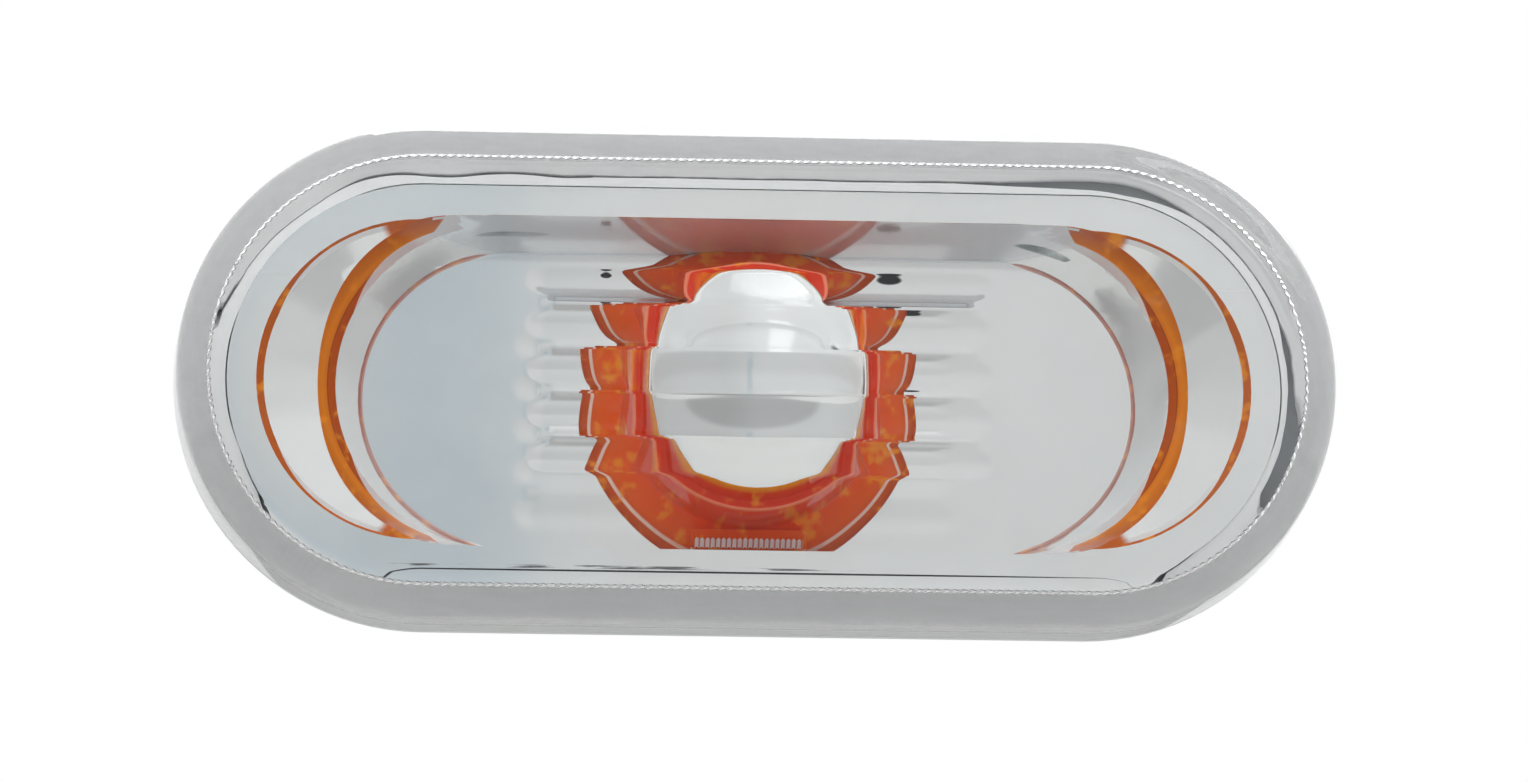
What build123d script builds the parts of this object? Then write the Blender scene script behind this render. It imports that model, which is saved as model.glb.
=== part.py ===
from build123d import *
import os
from math import radians, sqrt, tan

# Side repeater lamp: an oval clear-lens indicator that clips into a car's front wing.
# Millimetres. X runs along the lamp, +Z is up and the lens faces -Y. The origin is the lamp's
# centre in the plane of the wing's outer face, where the panel gasket bears.
# A level is a distance forward of that plane, so a level of 5 lies at y = -5.

# Outline and fixing
lamp_length = 98.0
lamp_height = 42.2
panel_grip = 2.3          # turned-in lip of the wing's hole, caught between gasket and latch
gasket_thickness = 1.5
gasket_inset = 1.5        # gasket's outer edge in from the lamp's outline
gasket_clearance = 0.4    # between the gasket and the tub that it surrounds

# Lens
lens_depth = 9.7          # from its seam on the flange to the middle of its front
lens_wall = 2.2
skirt_wall = 2.8
skirt_draft = 0.6         # how far the skirt leans in over its height
lens_edge_radius = 4.0
crown_radius = 400.0      # the front curves this gently from its top to its bottom
flute_count = 5
flute_pitch = 3.72
flute_radius = 4.2
flute_run = 37.4          # straight part of a flute, between its ball ends
flute_edge = 1.15         # outer edge of the outermost flutes, from their axes

# Reflector
reflector_inset = 4.65    # rim's outer edge in from the lamp's outline
rim_width = 2.4
rim_thickness = 1.2
reflector_wall = 1.3
tray_depth = 11.5         # rim to floor
side_wall_run = 1.3       # draft of the long walls over the tray's depth
rim_chamfer = 0.6
scoop_width = 4.5
scoop_margin = 0.5        # keeps a scoop's edge inside the line of the long walls
scoop_drop = 1.6
band_width = 1.5          # bevelled band between a scoop and the tray's end wall
band_drop = 1.5
band_relief = 0.08        # keeps the bevelled band clear of the long walls
end_wall_run = 2.1
dome_radius = 9.2         # edge of the dome's bright cap
dome_crown = 2.4
dome_height = 14.4        # floor to cap edge
dome_step_height = 10.4   # floor to the step in the dome's side
dome_step_width = 0.8
dome_side_run = 0.6       # draft of the side above the step, and again below it
dome_base_height = 3.4    # floor to the top of the flared base
dome_base_bite = 1.75     # the base circle runs this far into the long walls
foot_width = 9.9          # pads that join the dome's base to the long walls
foot_depth = 2.4
foot_height = 1.0

# Housing
flange_thickness = 1.8
flange_chamfer = 0.5      # on the flange's rear edge
tub_wall = 1.6
tub_clearance = 0.2       # reflector to tub
tub_depth = 14.7          # flange's rear face to the tub's back
tub_back_wall = 1.8
tub_draft = 2.5           # degrees
tub_chamfer = 1.0         # round the tub's back
collar_length = 4.0
collar_wall = 3.2
port_radius = 11.0
catch_reach = 2.3         # hook and latch beyond the tub's end
catch_nose = 1.4          # thickness of a catch at its tip
hook_width = 10.0
hook_depth = 5.0
latch_width = 8.0
latch_leaf = 1.3
latch_gap = 0.9           # room for the leaf to spring in
latch_ramp = 4.5
latch_root = 2.4
rib_width = 1.2
rib_height = 0.35
rib_length = 7.5
rib_spacing = 44.0

# Wedge bulb
bulb_radius = 4.8
bulb_length = 26.0
bulb_tip_gap = 3.0        # glass tip to the inside of the dome
glass_wall = 0.7
wedge_width = 9.2
wedge_thickness = 2.1
wedge_length = 8.0
wedge_corner = 0.7
lead_radius = 0.22
lead_spacing = 4.8
lead_fit = 0.06
filament_radius = 0.3
filament_depth = 7.0      # below the glass tip
tail_length = 5.4

# Bulb holder
barrel_clearance = 0.2
lug_count = 3
lug_thickness = 1.6
lug_reach = 1.8
lug_width = 5.0
lug_clearance = 0.1
notch_turn = 60.0         # degrees from a lug to the notch that it came in by
holder_flange_thickness = 2.2
holder_flange_overhang = 0.4
barrel_wall = 1.6
barrel_chamfer = 0.5      # leads the barrel into the port
post_radius = 7.0
seal_thickness = 1.2
seal_clearance = 0.1
socket_clearance = 0.35
slot_clearance = 0.15
contact_room = 2.4        # below the wedge, for the contacts to cross
web_thickness = 1.8
strip_thickness = 0.5
strip_width = 2.6
strip_clearance = 0.1
jog_length = 1.0          # where a contact steps from the middle plane to the wedge's face
leaf_pocket = 3.1         # from the bulb's middle plane to the back of a leaf's pocket
leaf_length = 6.2
pocket_clearance = 0.3    # each side of a leaf in its pocket
leaf_flare = 0.6
blade_length = 7.0
plug_length = 13.6        # inside of the socket for the loom's plug
plug_height = 8.6
plug_room = 5.2           # beyond the blades' ends
shroud_wall = 1.4
shroud_corner = 1.0
keeper_width = 4.0        # ramp that the loom's plug snaps over
keeper_length = 3.0
keeper_height = 1.1
keeper_inset = 3.0
grip_count = 12
grip_radius = 1.0

# Levels of the main faces, from the wing's face forwards
flange_rear = gasket_thickness
seam = flange_rear + flange_thickness
lens_front = seam + lens_depth
rim_front = seam + rim_thickness
floor_level = rim_front - tray_depth
floor_rear = floor_level - reflector_wall
tub_rear = flange_rear - tub_depth
tub_floor = tub_rear + tub_back_wall
collar_end = tub_rear - collar_length

# Half sizes of the outlines that fit one inside another
half_length = lamp_length / 2
half_height = lamp_height / 2
rim_half_length = half_length - reflector_inset
rim_half_height = half_height - reflector_inset
open_half_length = rim_half_length - rim_width
open_half_height = rim_half_height - rim_width
band_half_length = open_half_length - rim_chamfer - scoop_width
wall_half_length = band_half_length - band_width
floor_half_length = wall_half_length - end_wall_run
floor_half_height = open_half_height - side_wall_run
tray_half_length = open_half_length + reflector_wall
tray_half_height = open_half_height + reflector_wall
tub_half_length = tray_half_length + tub_clearance + tub_wall
tub_half_height = tray_half_height + tub_clearance + tub_wall


def sagitta(radius, half_chord):
    """How far an arc bulges over a chord of the given half length."""
    return radius - sqrt(radius**2 - half_chord**2)


def slot_loft(rear, rear_half, front, front_half):
    """A solid between two stadium outlines, each given by its half length and half height."""
    with BuildPart() as solid:
        for level, (length, height) in ((rear, rear_half), (front, front_half)):
            with BuildSketch(Plane.XZ.offset(level)):
                SlotOverall(2 * length, 2 * height)
        loft(ruled=True)
    return solid.part


def cover(foot_half, front, draft, radius, edge_radius):
    """A crowned stadium cover on the seam, its half section run along the lamp and turned at its ends."""
    length, height = foot_half
    run = length - height
    top = front + edge_radius
    lean = draft * (top - seam) / lens_depth
    with BuildPart() as body:
        with BuildSketch(Plane.YZ) as section:
            with BuildLine():
                Polyline((-seam, 0), (-seam, height), (-top, height - lean), (-top, 0), close=True)
            make_face()
            with Locations((radius - front, 0)):
                Circle(radius, mode=Mode.INTERSECT)
            fillet(section.vertices().sort_by(Axis.Y)[-2], edge_radius)
        extrude(amount=run, both=True)
        mirror(about=Plane.XY)
        for side in (-1, 1):
            with BuildSketch(Plane.YZ.offset(side * run)):
                add(section.sketch_local)
            revolve(axis=Axis((side * run, 0, 0), (0, side, 0)), revolution_arc=180)
    return body.part


def flute(crest, height):
    """The ball-ended bar whose back is one flute, with its crest at a level."""
    axis_y = -(crest + flute_radius)
    with BuildPart() as bar:
        with BuildSketch(Plane.YZ):
            with Locations((axis_y, height)):
                Circle(flute_radius)
        extrude(amount=flute_run / 2, both=True)
        with Locations((-flute_run / 2, axis_y, height), (flute_run / 2, axis_y, height)):
            Sphere(flute_radius)
    return bar.part


# Lens: one clear moulding
lens_outer = cover((half_length, half_height), lens_front, skirt_draft, crown_radius, lens_edge_radius)
lens_inner_front = lens_front - lens_wall
lens_inner = cover(
    (half_length - skirt_wall, half_height - skirt_wall), lens_inner_front, skirt_draft,
    crown_radius - lens_wall, lens_edge_radius - lens_wall,
)
flute_proud = sagitta(flute_radius, flute_edge)
flute_recess = sagitta(flute_radius, flute_pitch / 2) - flute_proud
flute_span = (flute_count - 1) * flute_pitch
with BuildPart() as lens_hollow:
    add(lens_inner)
    # Recess that the flutes stand in, so that they meet below the plain face
    with BuildSketch(Plane.XZ.offset(lens_inner_front - lens_wall)):
        Rectangle(flute_run, flute_span)
    extrude(amount=lens_wall + flute_recess)
    for index in range(flute_count):
        flute_height = index * flute_pitch - flute_span / 2
        crown_drop = sagitta(crown_radius - lens_wall, flute_height)
        add(flute(lens_inner_front - crown_drop - flute_proud, flute_height), mode=Mode.SUBTRACT)
with BuildPart() as lens:
    add(lens_outer)
    add(lens_hollow.part, mode=Mode.SUBTRACT)
lens.part.label = "lens"

# Reflector: one amber moulding, metallised on its front
scoop_outer = rim_front - rim_chamfer
scoop_inner = scoop_outer - scoop_drop
band_foot = scoop_inner - band_drop
band_slope = band_width / band_drop
band_rise = rim_front - band_foot
tray_end_slope = end_wall_run / (band_foot - floor_level)
tray_side_slope = side_wall_run / tray_depth
under_scoop = band_foot - reflector_wall
under_half = (
    wall_half_length + reflector_wall,
    floor_half_height + tray_side_slope * (under_scoop - floor_level) + reflector_wall,
)
band_side = floor_half_height + tray_side_slope * (band_foot - floor_level) - band_relief
scoop_edge = open_half_height - scoop_margin
scoop_centre = open_half_length - scoop_edge
scoop_radius = scoop_edge - rim_chamfer
scoop_apex = scoop_outer - scoop_radius * scoop_drop / scoop_width
foot_reach = foot_depth + reflector_wall / 2
foot_centre = floor_half_height - foot_depth + foot_reach / 2
cap_level = floor_level + dome_height
step_level = floor_level + dome_step_height
base_level = floor_level + dome_base_height
dome_top = cap_level + dome_crown
dome_base_radius = floor_half_height + dome_base_bite
upper_side = dome_radius + dome_side_run
lower_side = upper_side + dome_step_width
lower_foot = lower_side + dome_side_run


def dome(top, cap_edge, points):
    """The dome's solid of revolution: a round cap, then a stepped side given outwards and down."""
    radius, level = cap_edge
    sphere = (radius**2 + (top - level) ** 2) / (2 * (top - level))
    with BuildPart() as solid:
        with BuildSketch(Plane.XY):
            with BuildLine():
                Polyline((radius, -level), *((r, -f) for r, f in points), (0, -points[-1][1]), (0, -top))
                RadiusArc((0, -top), (radius, -level), sphere)
            make_face()
        revolve(axis=Axis.Y)
    return solid.part


with BuildPart() as reflector:
    # Rim, scoop undersides and tray
    with BuildSketch(Plane.XZ.offset(seam)):
        SlotOverall(2 * rim_half_length, 2 * rim_half_height)
    extrude(amount=rim_thickness)
    add(slot_loft(under_scoop, under_half, seam, (tray_half_length, tray_half_height)))
    add(slot_loft(
        floor_rear, (floor_half_length + reflector_wall, floor_half_height + reflector_wall),
        under_scoop, under_half,
    ))
    # Tray with steep long walls and leaning ends
    add(slot_loft(
        floor_level, (floor_half_length, floor_half_height),
        rim_front, (floor_half_length + tray_end_slope * tray_depth, open_half_height),
    ), mode=Mode.SUBTRACT)
    # Bevelled band above each end wall
    add(slot_loft(
        band_foot, (wall_half_length, band_side),
        rim_front, (wall_half_length + band_slope * band_rise, band_side + tray_side_slope * band_rise),
    ), mode=Mode.SUBTRACT)
    # Crescent scoops: shallow cones sunk into the rim's ends
    for side in (-1, 1):
        with BuildSketch(Plane.XY):
            with BuildLine():
                Polyline(
                    (side * scoop_centre, -scoop_apex),
                    (side * scoop_centre + scoop_radius, -scoop_outer),
                    (side * scoop_centre + scoop_edge, -rim_front),
                    (side * scoop_centre, -rim_front),
                    close=True,
                )
            make_face()
        revolve(axis=Axis((side * scoop_centre, 0, 0), (0, 1, 0)), mode=Mode.SUBTRACT)
    # Bulb dome with a stepped side and a flared base, hollow from behind
    add(dome(dome_top, (dome_radius, cap_level), (
        (upper_side, step_level),
        (lower_side, step_level),
        (lower_foot, base_level),
        (dome_base_radius, floor_level),
        (dome_base_radius, floor_rear),
    )))
    with BuildSketch(Plane.XZ.offset(floor_level)):
        with GridLocations(foot_width, 2 * foot_centre, 1, 2):
            Rectangle(foot_width, foot_reach)
    extrude(amount=foot_height)
    add(dome(dome_top - reflector_wall, (dome_radius - reflector_wall, cap_level - reflector_wall), (
        (upper_side - reflector_wall, step_level - reflector_wall),
        (lower_side - reflector_wall, step_level - reflector_wall),
        (lower_foot - reflector_wall, base_level - reflector_wall),
        (dome_base_radius - 2 * reflector_wall, floor_rear),
    )), mode=Mode.SUBTRACT)
reflector.part.label = "reflector"


def tub_half(level):
    """The tub's outer half length and half height at a level."""
    run = tan(radians(tub_draft)) * (flange_rear - level)
    return tub_half_length - run, tub_half_height - run


def tub_end(level):
    """Where the middle of the tub's end wall lies at a level."""
    return tub_half(level)[0] - tub_wall / 2


# Housing: one grey moulding
catch_front = -panel_grip
catch_tip = tub_half_length + catch_reach
mouth = (tub_half_length - tub_wall, tub_half_height - tub_wall)
tub_floor_half = tuple(half - tub_wall for half in tub_half(tub_floor))
notch_radius = port_radius + lug_reach
leaf_tip_in = tub_half(catch_front)[0] + latch_gap
ramp_level = catch_front - latch_ramp
root_level = tub_rear + latch_root
rib_top = tub_half_height + rib_height
rib_foot = tub_half(-rib_length)[1] - tub_wall / 2
with BuildPart() as housing:
    with BuildSketch(Plane.XZ.offset(flange_rear)):
        SlotOverall(lamp_length, lamp_height)
    extrude(amount=flange_thickness)
    chamfer(housing.edges().group_by(Axis.Y)[-1], flange_chamfer)
    add(slot_loft(tub_rear, tub_half(tub_rear), flange_rear, (tub_half_length, tub_half_height)))
    chamfer(housing.edges().group_by(Axis.Y)[-1], tub_chamfer)
    # Fixed hook at the left end
    with BuildSketch(Plane.XY):
        with BuildLine():
            Polyline(
                (-tub_end(catch_front), -catch_front),
                (-catch_tip, -catch_front),
                (-catch_tip, catch_nose - catch_front),
                (-tub_end(catch_front - hook_depth), hook_depth - catch_front),
                close=True,
            )
        make_face()
    extrude(amount=hook_width / 2, both=True)
    # Sprung latch at the right end, standing off the end wall on its root
    with BuildSketch(Plane.XY):
        with BuildLine():
            Polyline(
                (tub_half(tub_rear)[0] - tub_wall, -tub_rear),
                (tub_half(tub_rear)[0] + latch_gap + latch_leaf, -tub_rear),
                (tub_half(ramp_level)[0] + latch_gap + latch_leaf, -ramp_level),
                (catch_tip, catch_nose - catch_front),
                (catch_tip, -catch_front),
                (leaf_tip_in, -catch_front),
                (tub_half(root_level)[0] + latch_gap, -root_level),
                (tub_end(root_level), -root_level),
                close=True,
            )
        make_face()
    extrude(amount=latch_width / 2, both=True)
    # Centring ribs along the tub's long sides
    with BuildSketch(Plane.XZ.offset(-rib_length)):
        with GridLocations(rib_spacing, rib_top + rib_foot, 2, 2):
            Rectangle(rib_width, rib_top - rib_foot)
    extrude(amount=rib_length)
    # Collar round the bulb holder's port
    with BuildSketch(Plane.XZ.offset(collar_end)):
        Circle(port_radius + collar_wall)
    extrude(amount=tub_rear - collar_end)
    # Mouth and inside
    with BuildSketch(Plane.XZ.offset(flange_rear)):
        SlotOverall(2 * mouth[0], 2 * mouth[1])
    extrude(amount=flange_thickness, mode=Mode.SUBTRACT)
    add(slot_loft(tub_floor, tub_floor_half, flange_rear, mouth), mode=Mode.SUBTRACT)
    # Port with a notch for each of the holder's lugs
    with BuildSketch(Plane.XZ.offset(collar_end)):
        Circle(port_radius)
        with PolarLocations(notch_radius / 2, lug_count, start_angle=90 + notch_turn):
            Rectangle(notch_radius, lug_width + 2 * barrel_clearance)
    extrude(amount=tub_floor - collar_end, mode=Mode.SUBTRACT)
housing.part.label = "housing"

# Panel gasket: a foam rubber ring behind the flange
with BuildPart() as panel_gasket:
    with BuildSketch(Plane.XZ):
        SlotOverall(2 * (half_length - gasket_inset), 2 * (half_height - gasket_inset))
        SlotOverall(
            2 * (tub_half_length + gasket_clearance), 2 * (tub_half_height + gasket_clearance),
            mode=Mode.SUBTRACT,
        )
    extrude(amount=gasket_thickness)
panel_gasket.part.label = "panel_gasket"

# Levels of the bulb and its holder, from the dome's inside backwards
bulb_tip = dome_top - reflector_wall - bulb_tip_gap
wedge_rear = bulb_tip - bulb_length
wedge_front = wedge_rear + wedge_length
filament_level = bulb_tip - filament_depth
lug_rear = tub_floor + lug_clearance
barrel_front = lug_rear + lug_thickness
holder_flange_front = collar_end - seal_thickness
holder_flange_rear = holder_flange_front - holder_flange_thickness
slot_floor = wedge_rear - contact_room
web_rear = slot_floor - web_thickness
blade_end = web_rear - blade_length
shroud_end = blade_end - plug_room

# Holder seal: a rubber ring between the collar and the holder's flange
with BuildPart() as holder_seal:
    with BuildSketch(Plane.XZ.offset(holder_flange_front)):
        Circle(port_radius + collar_wall)
        Circle(port_radius + seal_clearance, mode=Mode.SUBTRACT)
    extrude(amount=seal_thickness)
holder_seal.part.label = "holder_seal"

# Bulb holder: barrel with bayonet lugs, flange, and the socket for the loom's plug
barrel_radius = port_radius - barrel_clearance
holder_flange_radius = port_radius + collar_wall + holder_flange_overhang
slot_half = wedge_thickness / 2 + slot_clearance
pocket_width = strip_width + 2 * pocket_clearance
keeper_y = -shroud_end - keeper_inset
keeper_z = plug_height / 2 + shroud_wall
with BuildPart() as bulb_holder:
    with BuildSketch(Plane.XZ.offset(holder_flange_front)):
        Circle(barrel_radius)
    extrude(amount=barrel_front - holder_flange_front)
    chamfer(bulb_holder.edges().group_by(Axis.Y)[0], barrel_chamfer)
    with BuildSketch(Plane.XZ.offset(lug_rear)):
        with PolarLocations((barrel_radius + lug_reach) / 2, lug_count, start_angle=90):
            Rectangle(barrel_radius + lug_reach, lug_width)
    extrude(amount=lug_thickness)
    with BuildSketch(Plane.XZ.offset(holder_flange_rear)):
        Circle(holder_flange_radius)
        with PolarLocations(holder_flange_radius, grip_count):
            Circle(grip_radius, mode=Mode.SUBTRACT)
    extrude(amount=holder_flange_thickness)
    with BuildSketch(Plane.XZ.offset(shroud_end)):
        RectangleRounded(plug_length + 2 * shroud_wall, plug_height + 2 * shroud_wall, shroud_corner)
    extrude(amount=holder_flange_rear - shroud_end)
    # Ramp on the shroud that the plug snaps over
    with BuildSketch(Plane.YZ):
        with BuildLine():
            Polyline(
                (keeper_y, keeper_z),
                (keeper_y - keeper_length, keeper_z + keeper_height),
                (keeper_y - keeper_length, keeper_z - shroud_wall / 2),
                (keeper_y, keeper_z - shroud_wall / 2),
                close=True,
            )
        make_face()
    extrude(amount=keeper_width / 2, both=True)
    # Relief between the barrel and the socket post
    with BuildSketch(Plane.XZ.offset(holder_flange_front)):
        Circle(barrel_radius - barrel_wall)
        Circle(post_radius, mode=Mode.SUBTRACT)
    extrude(amount=barrel_front - holder_flange_front, mode=Mode.SUBTRACT)
    # Seat for the glass, slot for the wedge and room below it for the contacts
    with BuildSketch(Plane.XZ.offset(wedge_front - slot_clearance)):
        Circle(bulb_radius + socket_clearance)
    extrude(amount=barrel_front - wedge_front + slot_clearance, mode=Mode.SUBTRACT)
    with BuildSketch(Plane.XZ.offset(wedge_rear)):
        Rectangle(wedge_width + 2 * slot_clearance, 2 * slot_half)
    extrude(amount=wedge_length, mode=Mode.SUBTRACT)
    with BuildSketch(Plane.XZ.offset(slot_floor)):
        Rectangle(lead_spacing + strip_width + 2 * slot_clearance, 2 * slot_half)
        for side in (-1, 1):
            with Locations((side * lead_spacing / 2, -side * leaf_pocket / 2)):
                Rectangle(pocket_width, leaf_pocket)
    extrude(amount=contact_room, mode=Mode.SUBTRACT)
    with BuildSketch(Plane.XZ.offset(slot_floor)):
        for side in (-1, 1):
            with Locations((side * lead_spacing / 2, -side * leaf_pocket / 2)):
                Rectangle(pocket_width, leaf_pocket)
    extrude(amount=barrel_front - slot_floor, mode=Mode.SUBTRACT)
    # Plug socket and the slits that the blades come through
    with BuildSketch(Plane.XZ.offset(shroud_end)):
        Rectangle(plug_length, plug_height)
    extrude(amount=web_rear - shroud_end, mode=Mode.SUBTRACT)
    with BuildSketch(Plane.XZ.offset(web_rear)):
        with GridLocations(lead_spacing, 1, 2, 1):
            Rectangle(strip_width + 2 * strip_clearance, strip_thickness + 2 * strip_clearance)
    extrude(amount=web_thickness, mode=Mode.SUBTRACT)
bulb_holder.part.label = "bulb_holder"


def contact(side):
    """A sheet-metal contact: blade, step and leaf spring, folded from one strip."""
    leaf_z = -side * (wedge_thickness / 2 + 2 * lead_radius + strip_clearance + strip_thickness)
    jog_y = -slot_floor - strip_thickness
    leaf_front = jog_y - jog_length - leaf_length
    with BuildPart() as strip:
        with BuildSketch(Plane.YZ.offset(side * lead_spacing / 2)):
            with BuildLine() as route:
                Polyline(
                    (-blade_end, 0),
                    (jog_y, 0),
                    (jog_y - jog_length, leaf_z),
                    (leaf_front, leaf_z),
                    (leaf_front - jog_length, leaf_z - side * leaf_flare),
                )
            trace(route.edges(), line_width=strip_thickness)
        extrude(amount=strip_width / 2, both=True)
    return strip.part


def lead(side):
    """A lead wire: from the filament through the wedge, then folded back up the wedge's face."""
    turn_y = -wedge_rear + 2 * lead_radius
    tail_z = -side * (wedge_thickness / 2 + lead_radius + strip_clearance / 2)
    with BuildPart() as wire:
        with BuildLine(Plane.YZ.offset(side * lead_spacing / 2)) as route:
            Polyline(
                (-filament_level, 0),
                (turn_y, 0),
                (turn_y, tail_z),
                (turn_y - tail_length, tail_z),
            )
        with BuildSketch(Plane((side * lead_spacing / 2, -filament_level, 0), z_dir=(0, 1, 0))):
            Circle(lead_radius)
        sweep(path=route.wires()[0], transition=Transition.RIGHT)
    return wire.part


# Contacts and lead wires, one of each to a side
contact_left = contact(-1)
contact_left.label = "contact_left"
contact_right = contact(1)
contact_right.label = "contact_right"
bulb_lead_left = lead(-1)
bulb_lead_left.label = "bulb_lead_left"
bulb_lead_right = lead(1)
bulb_lead_right.label = "bulb_lead_right"

# Bulb: a glass capsule pinched flat into a wedge
inner_radius = bulb_radius - glass_wall
with BuildPart() as bulb_glass:
    with BuildSketch(Plane.XZ.offset(wedge_front)):
        Circle(bulb_radius)
    extrude(amount=bulb_length - wedge_length - bulb_radius)
    with Locations((0, bulb_radius - bulb_tip, 0)):
        Sphere(bulb_radius)
    with BuildSketch(Plane.XZ.offset(wedge_rear)):
        RectangleRounded(wedge_width, wedge_thickness, wedge_corner)
    extrude(amount=wedge_length)
    with BuildSketch(Plane.XZ.offset(wedge_front + glass_wall)):
        Circle(inner_radius)
    extrude(amount=bulb_length - wedge_length - bulb_radius - glass_wall, mode=Mode.SUBTRACT)
    with Locations((0, bulb_radius - bulb_tip, 0)):
        Sphere(inner_radius, mode=Mode.SUBTRACT)
    with BuildSketch(Plane.XZ.offset(wedge_rear)):
        with GridLocations(lead_spacing, 1, 2, 1):
            Circle(lead_radius + lead_fit)
    extrude(amount=wedge_length + 2 * glass_wall, mode=Mode.SUBTRACT)
bulb_glass.part.label = "bulb_glass"

# Filament: the coil's outer form, laid across the ends of the leads
with BuildPart() as bulb_filament:
    with BuildSketch(Plane.YZ):
        with Locations((-filament_level - filament_radius, 0)):
            Circle(filament_radius)
    extrude(amount=lead_spacing / 2 + lead_radius, both=True)
bulb_filament.part.label = "bulb_filament"

os.makedirs("parts", exist_ok=True)
for piece in (
    lens.part, reflector.part, housing.part, panel_gasket.part, holder_seal.part, bulb_holder.part,
    contact_left, contact_right, bulb_lead_left, bulb_lead_right, bulb_glass.part, bulb_filament.part,
):
    export_step(piece, f"parts/{piece.label}.step")
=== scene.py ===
import math
import bmesh
import bpy
from mathutils import Matrix, Vector, noise


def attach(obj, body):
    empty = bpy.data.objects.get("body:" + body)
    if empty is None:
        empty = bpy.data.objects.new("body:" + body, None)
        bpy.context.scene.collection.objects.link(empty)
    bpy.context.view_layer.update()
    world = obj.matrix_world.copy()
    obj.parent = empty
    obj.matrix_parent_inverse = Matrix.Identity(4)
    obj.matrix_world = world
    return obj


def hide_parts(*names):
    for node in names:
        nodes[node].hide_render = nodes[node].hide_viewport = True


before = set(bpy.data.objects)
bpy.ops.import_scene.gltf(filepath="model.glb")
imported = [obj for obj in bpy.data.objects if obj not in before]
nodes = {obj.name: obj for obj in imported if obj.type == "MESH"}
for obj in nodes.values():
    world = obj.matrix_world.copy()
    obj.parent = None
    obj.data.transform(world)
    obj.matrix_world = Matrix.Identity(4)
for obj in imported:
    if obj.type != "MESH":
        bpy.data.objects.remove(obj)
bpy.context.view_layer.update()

# Camera
# A long lens stands a little below the lamp and to its left, as in the photograph, and is not quite
# level. The lamp's outline fills the same share of the frame as it does there.
MM = 0.001
LAMP_LENGTH = 98.0 * MM
LAMP_HEIGHT = 42.2 * MM
PHOTO_WIDTH = 1528                    # pixels
LAMP_WIDTH_IN_PHOTO = 1161            # pixels
camera_distance = 0.600
camera_azimuth = math.radians(-3.5)
camera_elevation = math.radians(-8.6)
camera_roll = math.radians(0.40)
aim_point = Vector((0.75 * MM, -4.0 * MM, -0.42 * MM))
frame_width = LAMP_LENGTH * PHOTO_WIDTH / LAMP_WIDTH_IN_PHOTO
towards_camera = Vector((
    math.sin(camera_azimuth) * math.cos(camera_elevation),
    -math.cos(camera_azimuth) * math.cos(camera_elevation),
    math.sin(camera_elevation),
))
bpy.ops.object.select_all(action="DESELECT")
bpy.ops.object.camera_add(location=aim_point + towards_camera * camera_distance)
camera = bpy.context.object
camera.data.sensor_width = 36.0
camera.data.lens = camera.data.sensor_width * camera_distance / frame_width
camera.data.clip_start = 0.01
camera.rotation_mode = "QUATERNION"
level_view = (-towards_camera).to_track_quat("-Z", "Y")
camera.rotation_quaternion = level_view @ Matrix.Rotation(camera_roll, 3, "Z").to_quaternion()
bpy.context.scene.camera = camera

# Studio
# A white light tent over a pale table. Lamps stand above it, and the tent shows white to the camera,
# to metal and through glass, while its plain level lights the lamp.
TENT_LEVEL = 0.62
TABLE_LEVEL = -0.300
bpy.context.scene.view_settings.view_transform = "Standard"


def srgb(code):
    """A colour written as six hex digits, as the linear values that a shader takes."""
    parts = [int(code[i:i + 2], 16) / 255 for i in (1, 3, 5)]
    return tuple(c / 12.92 if c <= 0.04045 else ((c + 0.055) / 1.055) ** 2.4 for c in parts) + (1.0,)


def node(tree, kind, sockets=(), **settings):
    """Adds a shader node. Its sockets are listed in their order or by name, and each is set to a value,
    or linked where it is given an output, or another node, whose first output it takes."""
    made = tree.nodes.new("ShaderNode" + kind)
    for name, value in settings.items():
        setattr(made, name, value)
    for key, value in sockets.items() if isinstance(sockets, dict) else enumerate(sockets):
        if isinstance(value, bpy.types.Node):
            value = next(output for output in value.outputs if output.enabled)
        if isinstance(value, bpy.types.NodeSocket):
            tree.links.new(value, made.inputs[key])
        else:
            made.inputs[key].default_value = value
    return made


def blank_material(name):
    """A new material and its empty node tree."""
    made = bpy.data.materials.new(name)
    made.use_nodes = True
    made.node_tree.nodes.clear()
    return made.node_tree, made


world = bpy.data.worlds.new("light_tent")
bpy.context.scene.world = world
world.use_nodes = True
sky = world.node_tree
sky.nodes.clear()
rays = node(sky, "LightPath")
shown = node(sky, "Math", [rays.outputs["Is Camera Ray"], rays.outputs["Is Glossy Ray"]],
             operation="MAXIMUM")
shown = node(sky, "Math", [shown, rays.outputs["Is Transmission Ray"]], operation="MAXIMUM")
tent_strength = node(sky, "Mix", {"Factor": shown, "A": TENT_LEVEL, "B": 1.0})
tent = node(sky, "Background", {"Color": srgb("#ffffff"), "Strength": tent_strength})
node(sky, "OutputWorld", {"Surface": tent})

bpy.ops.object.select_all(action="DESELECT")
bpy.ops.mesh.primitive_grid_add(x_subdivisions=8, y_subdivisions=8, size=4.0, location=(0, 0, TABLE_LEVEL))
table = bpy.context.object
table.name = "table"
bpy.ops.object.transform_apply(location=True)
# Uncoated paper: flat and pale, with a cloudy mix of fibres, in clumps of 4.4 mm on a sheet of 4 m.
CLUMPS_ACROSS = 900.0
tree, table_paper = blank_material("matt_white_paper")
fibres = node(tree, "TexNoise", {"Scale": CLUMPS_ACROSS, "Detail": 3.0})
paper = node(tree, "Mix", {"Factor": fibres, "A": srgb("#c6c6c4"), "B": srgb("#d2d2d0")}, data_type="RGBA")
surface = node(tree, "BsdfPrincipled", {"Base Color": paper, "Roughness": 0.9})
node(tree, "OutputMaterial", {"Surface": surface})
table.data.materials.append(table_paper)

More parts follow.
